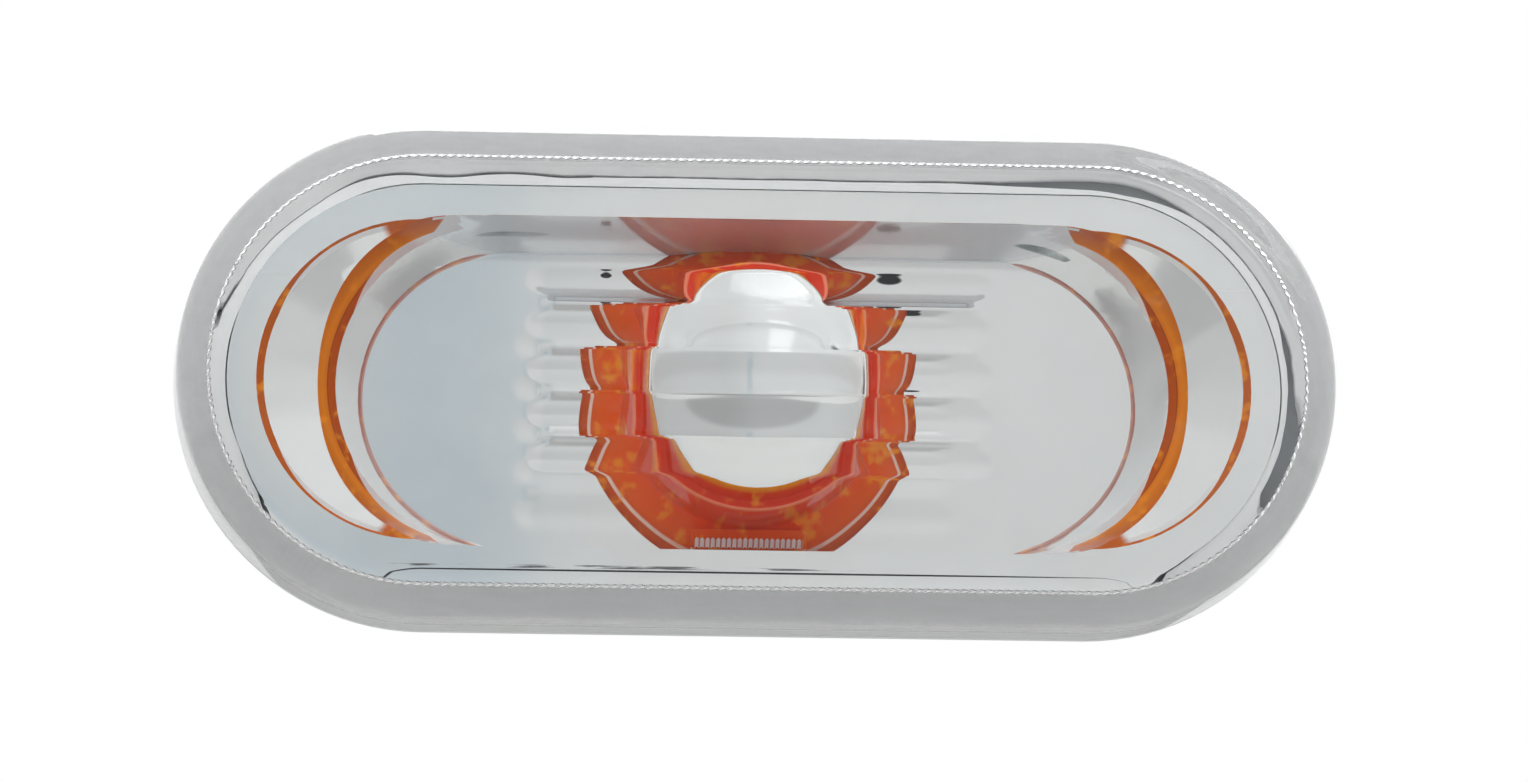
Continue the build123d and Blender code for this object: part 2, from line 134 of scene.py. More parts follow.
LAMP_SIZE = 0.7
for lamp_name, place, power in (
    ("key_lamp", (-0.60, -1.15, 1.10), 14.0),
    ("fill_lamp", (1.00, -1.10, 0.50), 8.0),
    ("back_lamp", (0.20, 0.80, 0.70), 5.0),
):
    bpy.ops.object.select_all(action="DESELECT")
    bpy.ops.object.light_add(type="AREA", location=place)
    studio_lamp = bpy.context.object
    studio_lamp.name = lamp_name
    studio_lamp.data.energy = power
    studio_lamp.data.size = LAMP_SIZE
    studio_lamp.rotation_mode = "QUATERNION"
    studio_lamp.rotation_quaternion = (-Vector(place)).to_track_quat("-Z", "Y")

# The tent's front wall is what the metal and the lens mirror. Its pale cloth is dimmer to the left and
# round the slit that the camera looks through, white above, brighter at a window high on the right,
# and bluish where a flap hangs left of the middle.
TENT_FRONT = -0.660
TENT_MIDDLE = 1.10
TENT_SPAN = (7.0, 2.80)
SLIT_HALF_WIDTH, SLIT_HALF_HEIGHT, SLIT_DROP = 0.50, 0.25, 0.30
SLIT_LEVEL, CLOTH_LEVEL, UPPER_RISE, TOP_LEVEL = 0.45, 0.66, 0.09, 0.90
WINDOW_LEVEL, WINDOW_ACROSS, WINDOW_UP = 0.28, 0.185, 0.41
LEFT_SHARE = 0.84
FLAP_ACROSS = -0.018
FLAP_TINT = "#dfeaf1"
GATHERED_LOW, GATHERED_HIGH = 0.76, 1.32      # levels of the light that a matt surface gathers
EASED = {"interpolation_type": "SMOOTHSTEP"}
bpy.ops.object.select_all(action="DESELECT")
bpy.ops.mesh.primitive_plane_add(
    size=1.0, location=(0, TENT_FRONT, TENT_MIDDLE), rotation=(math.radians(90), 0, 0))
tent_front = bpy.context.object
tent_front.name = "tent_front"
tent_front.scale = (*TENT_SPAN, 1.0)
bpy.ops.object.transform_apply(location=True, rotation=True, scale=True)
tree, tent_cloth = blank_material("tent_cloth")
place = node(tree, "TexCoord").outputs["Object"]
across, _, up = node(tree, "SeparateXYZ", [place]).outputs
slit_offset = node(tree, "VectorMath", [
    place, (1 / SLIT_HALF_WIDTH, 0.0, 1 / SLIT_HALF_HEIGHT), (0.0, 0.0, SLIT_DROP / SLIT_HALF_HEIGHT)],
    operation="MULTIPLY_ADD")
from_slit = node(tree, "VectorMath", [slit_offset], operation="LENGTH")
low_level = node(tree, "Math", [
    node(tree, "MapRange", [from_slit, 0.88, 1.08, SLIT_LEVEL, CLOTH_LEVEL], **EASED),
    node(tree, "MapRange", [up, 0.03, 0.14, 0.0, UPPER_RISE], **EASED)], operation="ADD")
high_level = node(tree, "Mix", {
    "Factor": node(tree, "MapRange", [up, 0.20, 0.34, 0.0, 1.0], **EASED),
    "A": low_level, "B": TOP_LEVEL})
beside_window = node(tree, "Math", [across, -WINDOW_ACROSS], operation="ADD")
beside_window = node(tree, "Math", [beside_window], operation="ABSOLUTE")
over_window = node(tree, "Math", [up, -WINDOW_UP], operation="ADD")
over_window = node(tree, "Math", [over_window], operation="ABSOLUTE")
window = node(tree, "Math", [
    node(tree, "MapRange", [beside_window, 0.06, 0.10, WINDOW_LEVEL, 0.0], **EASED),
    node(tree, "MapRange", [over_window, 0.12, 0.18, 1.0, 0.0], **EASED)], operation="MULTIPLY")
cloth_level = node(tree, "Math", [
    node(tree, "Math", [high_level, window], operation="ADD"),
    node(tree, "MapRange", [across, -0.20, 0.08, LEFT_SHARE, 1.0], **EASED)], operation="MULTIPLY")
beside_flap = node(tree, "Math", [across, -FLAP_ACROSS], operation="ADD")
beside_flap = node(tree, "Math", [beside_flap], operation="ABSOLUTE")
flap_height = node(tree, "Math", [
    node(tree, "MapRange", [up, 0.16, 0.30, 1.0, 0.0], **EASED),
    node(tree, "MapRange", [up, -0.06, 0.0, 0.0, 1.0], **EASED)], operation="MULTIPLY")
on_flap = node(tree, "Math", [
    node(tree, "MapRange", [beside_flap, 0.012, 0.022, 1.0, 0.0], **EASED), flap_height],
    operation="MULTIPLY")
cloth = node(tree, "Mix", {"Factor": on_flap, "A": srgb("#ffffff"), "B": srgb(FLAP_TINT)},
             data_type="RGBA")
# A matt surface under the lens also gathers the lamps that shine through the cloth from behind it.
on_matt = node(tree, "Math", [node(tree, "LightPath").outputs["Diffuse Depth"], 1.0], operation="MINIMUM")
gathered = node(tree, "Mix", {
    "Factor": on_matt, "A": cloth_level,
    "B": node(tree, "MapRange", [up, -0.20, 0.50, GATHERED_LOW, GATHERED_HIGH], **EASED)})
glow = node(tree, "Emission", {"Color": cloth, "Strength": gathered})
node(tree, "OutputMaterial", {"Surface": glow})
tent_front.data.materials.append(tent_cloth)
tent_front.visible_camera = False
tent_front.visible_shadow = False
tent_front.visible_diffuse = False

# Housing
# The tub behind the lens is one light grey ABS moulding. Its flange carries the lens and its catches
# hold it in the wing. A moulding's edges are never quite sharp, so they are rounded here.
JOIN_REACH = 0.002 * MM               # corners of facets nearer than this are one
FLAT_ANGLE = math.radians(0.4)        # facets that meet flatter than this are one face


def softened_copy(
        name, piece_name, edge, segments=2, sharp=24.0, smooth=31.0, left_out=None, eased_edge=None):
    """A CAD node's mesh with its facets joined and its sharp edges rounded, as a piece of its own."""
    copy = bpy.data.objects.new(piece_name, nodes[name].data.copy())
    bpy.context.scene.collection.objects.link(copy)
    bpy.ops.object.select_all(action="DESELECT")
    copy.select_set(True)
    bpy.context.view_layer.objects.active = copy
    bpy.ops.object.mode_set(mode="EDIT")
    bpy.ops.mesh.select_all(action="SELECT")
    bpy.ops.mesh.remove_doubles(threshold=JOIN_REACH)
    if left_out:
        bpy.ops.mesh.select_mode(type="FACE")
        bpy.ops.mesh.select_all(action="DESELECT")
        shape = bmesh.from_edit_mesh(copy.data)
        for face in shape.faces:
            face.select = left_out(face.calc_center_median(), face.normal)
        bmesh.update_edit_mesh(copy.data)
        bpy.ops.mesh.delete(type="FACE")
        bpy.ops.mesh.select_all(action="SELECT")
    bpy.ops.mesh.dissolve_limited(angle_limit=FLAT_ANGLE)
    if eased_edge:
        bpy.ops.mesh.select_mode(type="EDGE")
        bpy.ops.mesh.select_all(action="DESELECT")
        shape = bmesh.from_edit_mesh(copy.data)
        for line in shape.edges:
            line.select = all(eased_edge(vertex.co) for vertex in line.verts)
        bmesh.update_edit_mesh(copy.data)
        bpy.ops.mesh.bevel(offset=1.5 * edge, segments=2)
    bpy.ops.object.mode_set(mode="OBJECT")
    rounding = copy.modifiers.new("rounded_edges", "BEVEL")
    rounding.width = edge
    rounding.segments = segments
    rounding.limit_method = "ANGLE"
    rounding.angle_limit = math.radians(sharp)
    bpy.ops.object.modifier_apply(modifier=rounding.name)
    bpy.ops.object.shade_smooth_by_angle(angle=math.radians(smooth))
    flats = copy.modifiers.new("flat_faces", "WEIGHTED_NORMAL")
    flats.keep_sharp = True
    flats.weight = 80
    bpy.ops.object.modifier_apply(modifier=flats.name)
    copy.data.materials.clear()
    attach(copy, "root")
    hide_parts(name)
    return copy


FLOW_MARK = 9.0 * MM                  # size of the clouds that the melt's flow leaves
MOULDED_IOR = 1.53


def moulded_plastic(name, dark, light, roughness, grain, bump):
    """A moulded plastic or rubber: an even colour with faint flow marks, and the tool's spark-eroded
    grain, which is drawn coarser than it is so that it shows."""
    tree, made = blank_material(name)
    place = node(tree, "TexCoord").outputs["Object"]
    flow = node(tree, "TexNoise", {
        "Vector": place, "Scale": 1 / FLOW_MARK, "Detail": 3.0, "Distortion": 0.6})
    tone = node(tree, "Mix", {"Factor": flow, "A": srgb(dark), "B": srgb(light)}, data_type="RGBA")
    spark = node(tree, "TexNoise", {"Vector": place, "Scale": 1 / grain, "Detail": 2.0})
    gloss = node(tree, "MapRange", {
        "Value": spark, "To Min": roughness - 0.06, "To Max": roughness + 0.08})
    relief = node(tree, "Bump", {"Height": spark, "Strength": 0.35, "Distance": bump})
    surface = node(tree, "BsdfPrincipled", {
        "Base Color": tone, "Roughness": gloss, "IOR": MOULDED_IOR, "Normal": relief})
    node(tree, "OutputMaterial", {"Surface": surface})
    return made


housing = softened_copy("housing", "lamp_housing", 0.15 * MM)
# Grey ABS from a spark-eroded tool: pale and satin, with soft highlights.
grey_abs = moulded_plastic("moulded_grey_abs", "#c6c9cb", "#d0d3d4", 0.42, 0.25 * MM, 0.02 * MM)
housing.data.materials.append(grey_abs)

# Reflector
# One amber polycarbonate moulding, metallised in a vacuum on its front. Its edges, the bevelled band
# inside each crescent and the side of the bulb's dome were masked, and show the amber.
RIM_FRONT = 4.5                       # in millimetres, and a level is a distance out of the wing
FLOOR_LEVEL = -7.0
FLOOR_HALF_SPINE = 20.0
END_CORNER_RADIUS = 11.5              # the floor's corner at the ends lies outside this
SCOOP_CENTRE = 28.4
SCOOP_RADIUS = 12.95
SCOOP_OUTER = 3.9
LINE_TIP = 24.7                       # the line round a crescent starts this far from the middle
BAND_FOOT = 0.8
BAND_TIP = 25.0
BAND_END_RUN = 0.887                  # run to rise of the band and of the wall under it, at the ends
WALL_END_RUN = 0.156
SIDE_RUN = 0.113                      # run to rise of the long walls
CAP_RADIUS = 9.2
CAP_LEVEL = 7.4
DOME_TOP = 9.8
DOME_SIDE = ((9.8, 3.4), (10.6, 3.4), (11.2, -3.6))
DOME_FOOT_RADIUS = 14.5
DOME_LIP = ((14.35, -6.75), (13.75, -6.55), (13.60, -6.05))
FOOT_HALF_WIDTH = 4.95
FOOT_TOP = -6.0
FOOT_REACH = 13.6
LINE_AMBER = 0.6                      # a line so thin that the film half covers it


def on_dome(centre, normal):
    """True for a face of the dome's front."""
    x, level, z = centre.x / MM, -centre.y / MM, centre.z / MM
    radius = math.hypot(x, z)
    outward = (normal.x * x + normal.z * z) / max(radius, 1e-6)
    return radius < DOME_FOOT_RADIUS and FLOOR_LEVEL + 0.04 < level and normal.y < 0.05 and outward > -0.2


def in_end_corner(point):
    """True for a point of the corner between the floor and an end wall."""
    x, level, z = abs(point.x / MM), -point.y / MM, point.z / MM
    past_spine = max(x - FLOOR_HALF_SPINE, 0.0)
    return abs(level - FLOOR_LEVEL) < 0.03 and x > 22.5 and math.hypot(past_spine, z) > END_CORNER_RADIUS


def follow_section(piece, section):
    """Insets the piece's one face step by step, so that its outline follows (half size, level) points."""
    bpy.ops.object.mode_set(mode="EDIT")
    bpy.ops.mesh.select_mode(type="FACE")
    bpy.ops.mesh.select_all(action="SELECT")
    for (half, level), (next_half, next_level) in zip(section, section[1:]):
        bpy.ops.mesh.inset(thickness=(half - next_half) * MM, depth=(next_level - level) * MM)
    bpy.ops.object.mode_set(mode="OBJECT")


def amber_share(centre, normal):
    """1 where a face of the reflector is bare amber and 0 where it is metallised."""
    x, level, z = abs(centre.x / MM), -centre.y / MM, centre.z / MM
    if normal.y > 0.05:
        return 1.0
    on_foot = FLOOR_LEVEL + 0.04 < level < FOOT_TOP + 0.1
    if on_foot and x < FOOT_HALF_WIDTH + 0.1 and math.hypot(x, z) < FOOT_REACH:
        return 1.0
    past_edge = math.hypot(max(x - SCOOP_CENTRE, 0.0), z) - SCOOP_RADIUS
    if -0.02 < past_edge < 0.7 and SCOOP_OUTER - 0.05 < level < RIM_FRONT - 0.04 and x > LINE_TIP:
        return 1.0
    across = math.hypot(normal.x, normal.z)
    if level < FLOOR_LEVEL + 0.4 and across > 0.2 and -normal.y > 0.4 * across and x > 22:
        return LINE_AMBER
    if x > BAND_TIP and across > 0.2:
        run = -normal.y / across
        towards_end = abs(normal.x) / across
        dividing_run = (BAND_END_RUN + WALL_END_RUN) / 2 * towards_end + SIDE_RUN
        if level > BAND_FOOT - 0.1 and dividing_run < run < 2.0:
            return 1.0
    return 0.0


reflector = softened_copy(
    "reflector", "lamp_reflector", 0.14 * MM, sharp=14.0, smooth=30.0, left_out=on_dome,
    eased_edge=in_end_corner)
bare = reflector.data.attributes.new("bare_amber", "FLOAT", "FACE")
for face in reflector.data.polygons:
    bare.data[face.index].value = amber_share(face.center, face.normal)

# The dome's front is spun finely, because its cap is a curved mirror.
DOME_STEPS = 144
CAP_RINGS = 16
cap_sphere = (CAP_RADIUS**2 + (DOME_TOP - CAP_LEVEL) ** 2) / (2 * (DOME_TOP - CAP_LEVEL))
dome_section = [(DOME_FOOT_RADIUS + 0.05, FLOOR_LEVEL - 0.06), *DOME_LIP]
dome_section += [*reversed(DOME_SIDE)] + [(CAP_RADIUS, CAP_LEVEL)]
for ring in range(1, CAP_RINGS):
    ring_radius = CAP_RADIUS * (1 - ring / CAP_RINGS)
    dome_section.append((ring_radius, DOME_TOP - cap_sphere + math.sqrt(cap_sphere**2 - ring_radius**2)))
bpy.ops.object.select_all(action="DESELECT")
bpy.ops.mesh.primitive_circle_add(
    vertices=DOME_STEPS, radius=dome_section[0][0] * MM, fill_type="NGON",
    location=(0, -dome_section[0][1] * MM, 0), rotation=(math.radians(90), 0, 0))
dome = bpy.context.object
dome.name = "reflector_dome"
bpy.ops.object.transform_apply(location=True, rotation=True, scale=True)
follow_section(dome, dome_section)
dome_edges = dome.modifiers.new("rounded_edges", "BEVEL")
dome_edges.width = 0.22 * MM
dome_edges.segments = 3
dome_edges.limit_method = "ANGLE"
dome_edges.angle_limit = math.radians(20)
bpy.ops.object.modifier_apply(modifier=dome_edges.name)
bpy.ops.object.shade_smooth_by_angle(angle=math.radians(22))
bare = dome.data.attributes.new("bare_amber", "FLOAT", "FACE")
for face in dome.data.polygons:
    cap_face = math.hypot(face.center.x, face.center.z) < (CAP_RADIUS - 0.02) * MM
    bare.data[face.index].value = 0.0 if cap_face else 1.0

# A pad is moulded at the foot of the dome. The strip along it is rough, ridged and whitish.
PAD_HALF = 4.95
PAD_TOP, PAD_BOTTOM = (-11.30, -3.30), (-12.75, -4.75)      # heights and levels of its front's edges
PAD_BACK = -6.4
STRIP_HALF = 4.6
STRIP_RIDGES = 20
STRIP_COLUMNS = 3 * STRIP_RIDGES
STRIP_START, STRIP_SPAN = 0.50, 0.44  # shares of the pad's slope
RIDGE_RISE, ROUGH_RISE, STRIP_RISE = 0.12, 0.05, 0.05
FROSTED = -1.0                        # marks the strip, which is neither amber nor a mirror
bpy.ops.object.select_all(action="DESELECT")
bpy.ops.mesh.primitive_cube_add(size=2.0)
pad = bpy.context.object
pad.name = "reflector_pad"
for vertex in pad.data.vertices:
    height, front = PAD_TOP if vertex.co.z > 0 else PAD_BOTTOM
    level = front if vertex.co.y < 0 else PAD_BACK
    vertex.co = Vector((vertex.co.x * PAD_HALF, -level, height)) * MM
pad_edges = pad.modifiers.new("rounded_edges", "BEVEL")
pad_edges.width = 0.12 * MM
pad_edges.segments = 2
bpy.ops.object.modifier_apply(modifier=pad_edges.name)
bpy.ops.object.shade_smooth_by_angle(angle=math.radians(30))
bare = pad.data.attributes.new("bare_amber", "FLOAT", "FACE")
bare.data.foreach_set("value", [1.0] * len(pad.data.polygons))
bpy.ops.object.select_all(action="DESELECT")
bpy.ops.mesh.primitive_grid_add(
    x_subdivisions=STRIP_COLUMNS, y_subdivisions=4, size=2.0, rotation=(math.radians(90), 0, 0))
strip = bpy.context.object
strip.name = "reflector_strip"
bpy.ops.object.transform_apply(location=True, rotation=True, scale=True)
for vertex in strip.data.vertices:
    column = round((vertex.co.x + 1) / 2 * STRIP_COLUMNS)
    down = (1 - vertex.co.z) / 2
    share = STRIP_START + STRIP_SPAN * down
    rough = (RIDGE_RISE if column % 3 == 1 else 0.0) + ROUGH_RISE * noise.noise(vertex.co * 9.0)
    height = PAD_TOP[0] + (PAD_BOTTOM[0] - PAD_TOP[0]) * share + rough
    level = PAD_TOP[1] + (PAD_BOTTOM[1] - PAD_TOP[1]) * share + STRIP_RISE + rough
    vertex.co = Vector((vertex.co.x * STRIP_HALF, -level, height)) * MM
bare = strip.data.attributes.new("bare_amber", "FLOAT", "FACE")
for face in strip.data.polygons:
    column = math.floor((face.center.x / (STRIP_HALF * MM) + 1) / 2 * STRIP_COLUMNS)
    bare.data[face.index].value = LINE_AMBER if column % 3 == 2 else FROSTED
bpy.ops.object.select_all(action="DESELECT")
for moulded in (dome, pad, strip, reflector):
    moulded.select_set(True)
bpy.context.view_layer.objects.active = reflector
bpy.ops.object.join()

# Bright aluminium film over amber: the film mirrors the tent, and the amber shows wherever the
# mask kept the film off. Its colour is painted light, deeper or brighter with distance, as if lit through.
DOME_FIELD = 20.0                     # half length of the middle, where the amber is the dome's
BAND_TAPER = 0.965                    # slope at which the bands are cut off towards their tips
BAND_CUT = (39.65, 39.80)             # where that cut lies, with a soft edge
FULL_BAND_HEIGHT = 8.4                # up to here a band is not cut
LINE_BY_FLOOR = -1.0                  # below this level is the line along the floor, not the band
BAND_FEET = (0.6, 1.9)                # levels of the band's foot, at mid height and by the long walls
LINE_FEET = (3.8, 4.28)               # the same for the line round the crescent
BAND_TO_LINE = 3.84
CRESCENT_START = 27.4
CRESCENT_LEVEL, CRESCENT_RANGE = 3.1, 1.2
WALL_FOOT, WALL_FULL = 12.4, 12.9     # heights between which the tray's upper wall begins
TRAY_TOP = 4.2
BRIGHT_FILM, DULL_FILM, DULLEST_FILM = 0.92, 0.58, 0.40      # how much of a mirror the film is
CRESCENT_DULLED, BESIDE_BAND_DULLED = -0.35, -0.8
# Shades are given as (millimetres, colour).
# These shades hold painted light: a lit edge by the cap, a pale ledge standing for a reflection, a glint
# along the lip.
AMBER_SHADES_WITH_PAINTED_LIGHT = (
    (9.0, "#ffa818"), (9.3, "#ff9a10"), (9.5, "#ee3a02"), (9.8, "#e23202"), (10.36, "#e63802"),
    (10.44, "#f88c6a"), (10.58, "#f88c6a"), (10.68, "#fb4000"), (11.4, "#f65602"), (13.0, "#f05e04"),
    (13.5, "#e65a06"), (13.58, "#ffe0d0"), (13.74, "#ffe0d0"), (13.82, "#cc520e"), (14.5, "#bc480c"))
# These shades hold painted shade: a dark line across the band, lighter above it and darker below it.
BAND_SHADES_WITH_PAINTED_SHADE = (
    (0.6, "#bc5004"), (1.42, "#c45604"), (1.48, "#7c3404"), (1.54, "#e67a0c"), (1.9, "#f08c14"),
    (2.4, "#e07a0c"), (3.8, "#cc641a"))


def spot(first, first_at, first_half, second, second_at, second_half):
    """1 inside an ellipse over two coordinates, and 0 beyond its edge."""
    a = node(tree, "Math", [first, 1 / first_half, -first_at / first_half], operation="MULTIPLY_ADD")
    b = node(tree, "Math", [second, 1 / second_half, -second_at / second_half], operation="MULTIPLY_ADD")
    away = node(tree, "Math", [a, a, node(tree, "Math", [b, b], operation="MULTIPLY")],
                operation="MULTIPLY_ADD")
    return node(tree, "MapRange", [away, 0.6, 1.2, 1.0, 0.0], **EASED)


tree, metallised_amber = blank_material("metallised_amber_polycarbonate")
place = node(tree, "TexCoord").outputs["Object"]
in_mm = node(tree, "VectorMath", {0: place, "Scale": 1 / MM}, operation="SCALE")
length, depth, height = node(tree, "SeparateXYZ", [in_mm]).outputs
out_along = node(tree, "Math", [length], operation="ABSOLUTE")
out_up = node(tree, "Math", [height], operation="ABSOLUTE")
level = node(tree, "Math", [depth, -1.0], operation="MULTIPLY")
bare_face = node(tree, "Attribute", attribute_name="bare_amber").outputs["Fac"]
by_dome = node(tree, "Math", [out_along, DOME_FIELD], operation="LESS_THAN")
# Each band's mask narrows towards the long walls and ends there in a point, like the line round it.
taper = node(tree, "Math", [out_up, BAND_TAPER, out_along], operation="MULTIPLY_ADD")
past_taper = node(tree, "MapRange", [taper, *BAND_CUT, 0.0, 1.0], **EASED)
elsewhere = node(tree, "Math", [
    node(tree, "Math", [out_up, FULL_BAND_HEIGHT], operation="LESS_THAN"),
    node(tree, "Math", [level, LINE_BY_FLOOR], operation="LESS_THAN")], operation="MAXIMUM")
mask_foot = node(tree, "Mix", {
    "Factor": node(tree, "Math", [level, BAND_TO_LINE], operation="GREATER_THAN"),
    "A": node(tree, "MapRange", [out_up, 4.0, 12.2, *BAND_FEET], **EASED),
    "B": node(tree, "MapRange", [out_up, 3.0, 11.0, *LINE_FEET], **EASED)})
narrowed = node(tree, "Math", [
    node(tree, "Math", [level, mask_foot], operation="GREATER_THAN"),
    node(tree, "Math", [level, 0.0], operation="LESS_THAN")], operation="MAXIMUM")
band = node(tree, "Math", [past_taper, elsewhere], operation="MAXIMUM")
band = node(tree, "Math", [band, narrowed], operation="MULTIPLY")
unmasked = node(tree, "Math", [band, by_dome], operation="MAXIMUM")
mask = node(tree, "Math", [bare_face, unmasked], operation="MULTIPLY")
# The film didn't reach into the crescents' tips, where a web of amber joins the band and the outer line.
in_crescent = node(tree, "Math", [
    node(tree, "Math", [level, CRESCENT_LEVEL, CRESCENT_RANGE], operation="COMPARE"),
    node(tree, "Math", [out_along, CRESCENT_START], operation="GREATER_THAN")], operation="MULTIPLY")
tip = node(tree, "Math", [spot(out_along, 29.0, 2.6, out_up, 13.2, 1.9), in_crescent], operation="MULTIPLY")
mask = node(tree, "Math", [mask, tip], operation="MAXIMUM")
# Outwards from the cap the amber goes from an edge painted as lit from behind through deep red to a
# ledge painted pale as a reflection, then orange, then a painted glint along the lip and the lip's brown
# edge. The end bands are painted lighter above a thin line of painted shade and darker below it.
# Streaks of thinner amber run down both.
from_axis = node(tree, "VectorMath", [in_mm, (1.0, 0.0, 1.0)], operation="MULTIPLY")
spread = node(tree, "VectorMath", [from_axis], operation="LENGTH")
ramps = []
for distance, shades in ((level, BAND_SHADES_WITH_PAINTED_SHADE), (spread, AMBER_SHADES_WITH_PAINTED_LIGHT)):
    first, last = shades[0][0], shades[-1][0]
    share = node(tree, "MapRange", {"Value": distance, "From Min": first, "From Max": last})
    ramp = node(tree, "ValToRGB", [share])
    stops = ramp.color_ramp.elements
    stops[0].color, stops[1].color = srgb(shades[0][1]), srgb(shades[-1][1])
    for at, code in shades[1:-1]:
        stops.new((at - first) / (last - first)).color = srgb(code)
    ramps.append(ramp)
amber_and_painted_light = node(tree, "Mix", {"Factor": by_dome, "A": ramps[0], "B": ramps[1]}, data_type="RGBA")
streaks = node(tree, "Mapping", {"Vector": place, "Scale": (1.0, 0.12, 1.0)})
flow = node(tree, "TexNoise", {"Vector": streaks, "Scale": 1 / (1.4 * MM), "Detail": 2.0})
amber = node(tree, "Mix", {
    "Factor": node(tree, "MapRange", [flow, 0.54, 0.72, 0.0, 0.75], **EASED),
    "A": amber_and_painted_light, "B": srgb("#ffa01c")}, data_type="RGBA")
# The aluminium film is thinner in soft patches, which read as faint smudges, and bluish on the upper wall.
haze = node(tree, "TexNoise", {
    "Vector": place, "Scale": 1 / (7 * MM), "Detail": 4.0, "Roughness": 0.6})
film = node(tree, "Mix", {"Factor": haze, "A": srgb("#eceeee"), "B": srgb("#f6f7f7")}, data_type="RGBA")
in_tray = node(tree, "Math", [level, TRAY_TOP], operation="LESS_THAN")
upper_wall = node(tree, "Math", [
    node(tree, "MapRange", [height, WALL_FOOT, WALL_FULL, 0.0, 1.0], **EASED), in_tray],
    operation="MULTIPLY")
film = node(tree, "Mix", {"Factor": upper_wall, "A": film, "B": srgb("#e8f2f8")}, data_type="RGBA")
# Dust lies in smudges on the upper wall.
dusty = node(tree, "Math", [
    spot(length, -20.5, 3.2, depth, 1.2, 0.8), spot(length, 25.0, 2.6, depth, 1.8, 1.0)],
    operation="MAXIMUM")
dusty = node(tree, "Math", [
    dusty, node(tree, "MapRange", [haze, 0.35, 0.60, 0.25, 0.9], **EASED)], operation="MULTIPLY")
dusty = node(tree, "Math", [
    dusty, node(tree, "Math", [height, 12.0], operation="GREATER_THAN")], operation="MULTIPLY")
film = node(tree, "Mix", {"Factor": dusty, "A": film, "B": srgb("#4f666a")}, data_type="RGBA")
# Small dark specks are painted on the film on the floor beside the dome.
painted_dark_marks = node(tree, "Math", [
    spot(length, 12.1, 1.1, height, 9.8, 0.42), spot(length, 14.0, 0.9, height, 5.0, 0.16)],
    operation="MAXIMUM")
painted_dark_marks = node(tree, "Math", [painted_dark_marks, spot(length, -12.3, 0.5, height, 9.8, 0.25)], operation="MAXIMUM")
painted_dark_marks = node(tree, "Math", [
    painted_dark_marks, node(tree, "Math", [level, -5.0], operation="LESS_THAN")], operation="MULTIPLY")
# A thin dark line along the rim's lower edge is painted shade for the gap beside it, with broken dark
# marks painted along it.
rim_stretch = node(tree, "Mapping", {"Vector": place, "Scale": (0.10, 1.0, 1.0)})
broken = node(tree, "TexNoise", {"Vector": rim_stretch, "Scale": 1 / (0.5 * MM), "Detail": 3.0})
rim_shade_and_marks = node(tree, "Math", [
    node(tree, "MapRange", [broken, 0.46, 0.60, 0.0, 0.85], **EASED),
    spot(length, -14.0, 22.0, height, -15.62, 0.16)], operation="MULTIPLY")
rim_shade_and_marks = node(tree, "Math", [rim_shade_and_marks, spot(length, -4.0, 36.0, height, -15.90, 0.035)],
               operation="MAXIMUM")
rim_shade_and_marks = node(tree, "Math", [
    rim_shade_and_marks, node(tree, "Math", [level, 4.0], operation="GREATER_THAN")], operation="MULTIPLY")
painted_dark_marks = node(tree, "Math", [painted_dark_marks, rim_shade_and_marks], operation="MAXIMUM")
film = node(tree, "Mix", {"Factor": painted_dark_marks, "A": film, "B": srgb("#34383c")}, data_type="RGBA")
colour = node(tree, "Mix", {"Factor": mask, "A": film, "B": amber}, data_type="RGBA")
# The film is duller on the upper wall, towards the top of the rim and in the crescents, is made whitish
# beside a narrowed band as a painted glint, and is no mirror on the painted dark marks or where frosted.
wall_film = node(tree, "MapRange", [length, -14.0, -9.0, DULL_FILM, DULLEST_FILM], **EASED)
mirror = node(tree, "Mix", {
    "Factor": in_tray,
    "A": node(tree, "MapRange", [height, 2.0, 15.0, BRIGHT_FILM, DULL_FILM], **EASED),
    "B": node(tree, "MapRange", [height, WALL_FOOT, WALL_FULL, BRIGHT_FILM, wall_film], **EASED)})
beside_band = node(tree, "Math", [
    node(tree, "Math", [bare_face, 0.0], operation="MAXIMUM"), mask], operation="SUBTRACT")
for share in (
    node(tree, "Math", [in_crescent, CRESCENT_DULLED, 1.0], operation="MULTIPLY_ADD"),
    node(tree, "Math", [1.0, painted_dark_marks], operation="SUBTRACT"),
    node(tree, "Math", [bare_face, FROSTED / 2], operation="GREATER_THAN"),
    node(tree, "Math", [beside_band, BESIDE_BAND_DULLED, 1.0], operation="MULTIPLY_ADD"),
):
    mirror = node(tree, "Math", [mirror, share], operation="MULTIPLY")
metal = node(tree, "Mix", {"Factor": mask, "A": mirror, "B": 0.0})
gloss = node(tree, "MapRange", {"Value": haze, "To Min": 0.05, "To Max": 0.11})
surface = node(tree, "BsdfPrincipled", {
    "Base Color": colour, "Metallic": metal, "Roughness": gloss, "IOR": 1.5, "Specular IOR Level": 0.25})
node(tree, "OutputMaterial", {"Surface": surface})
reflector.data.materials.append(metallised_amber)

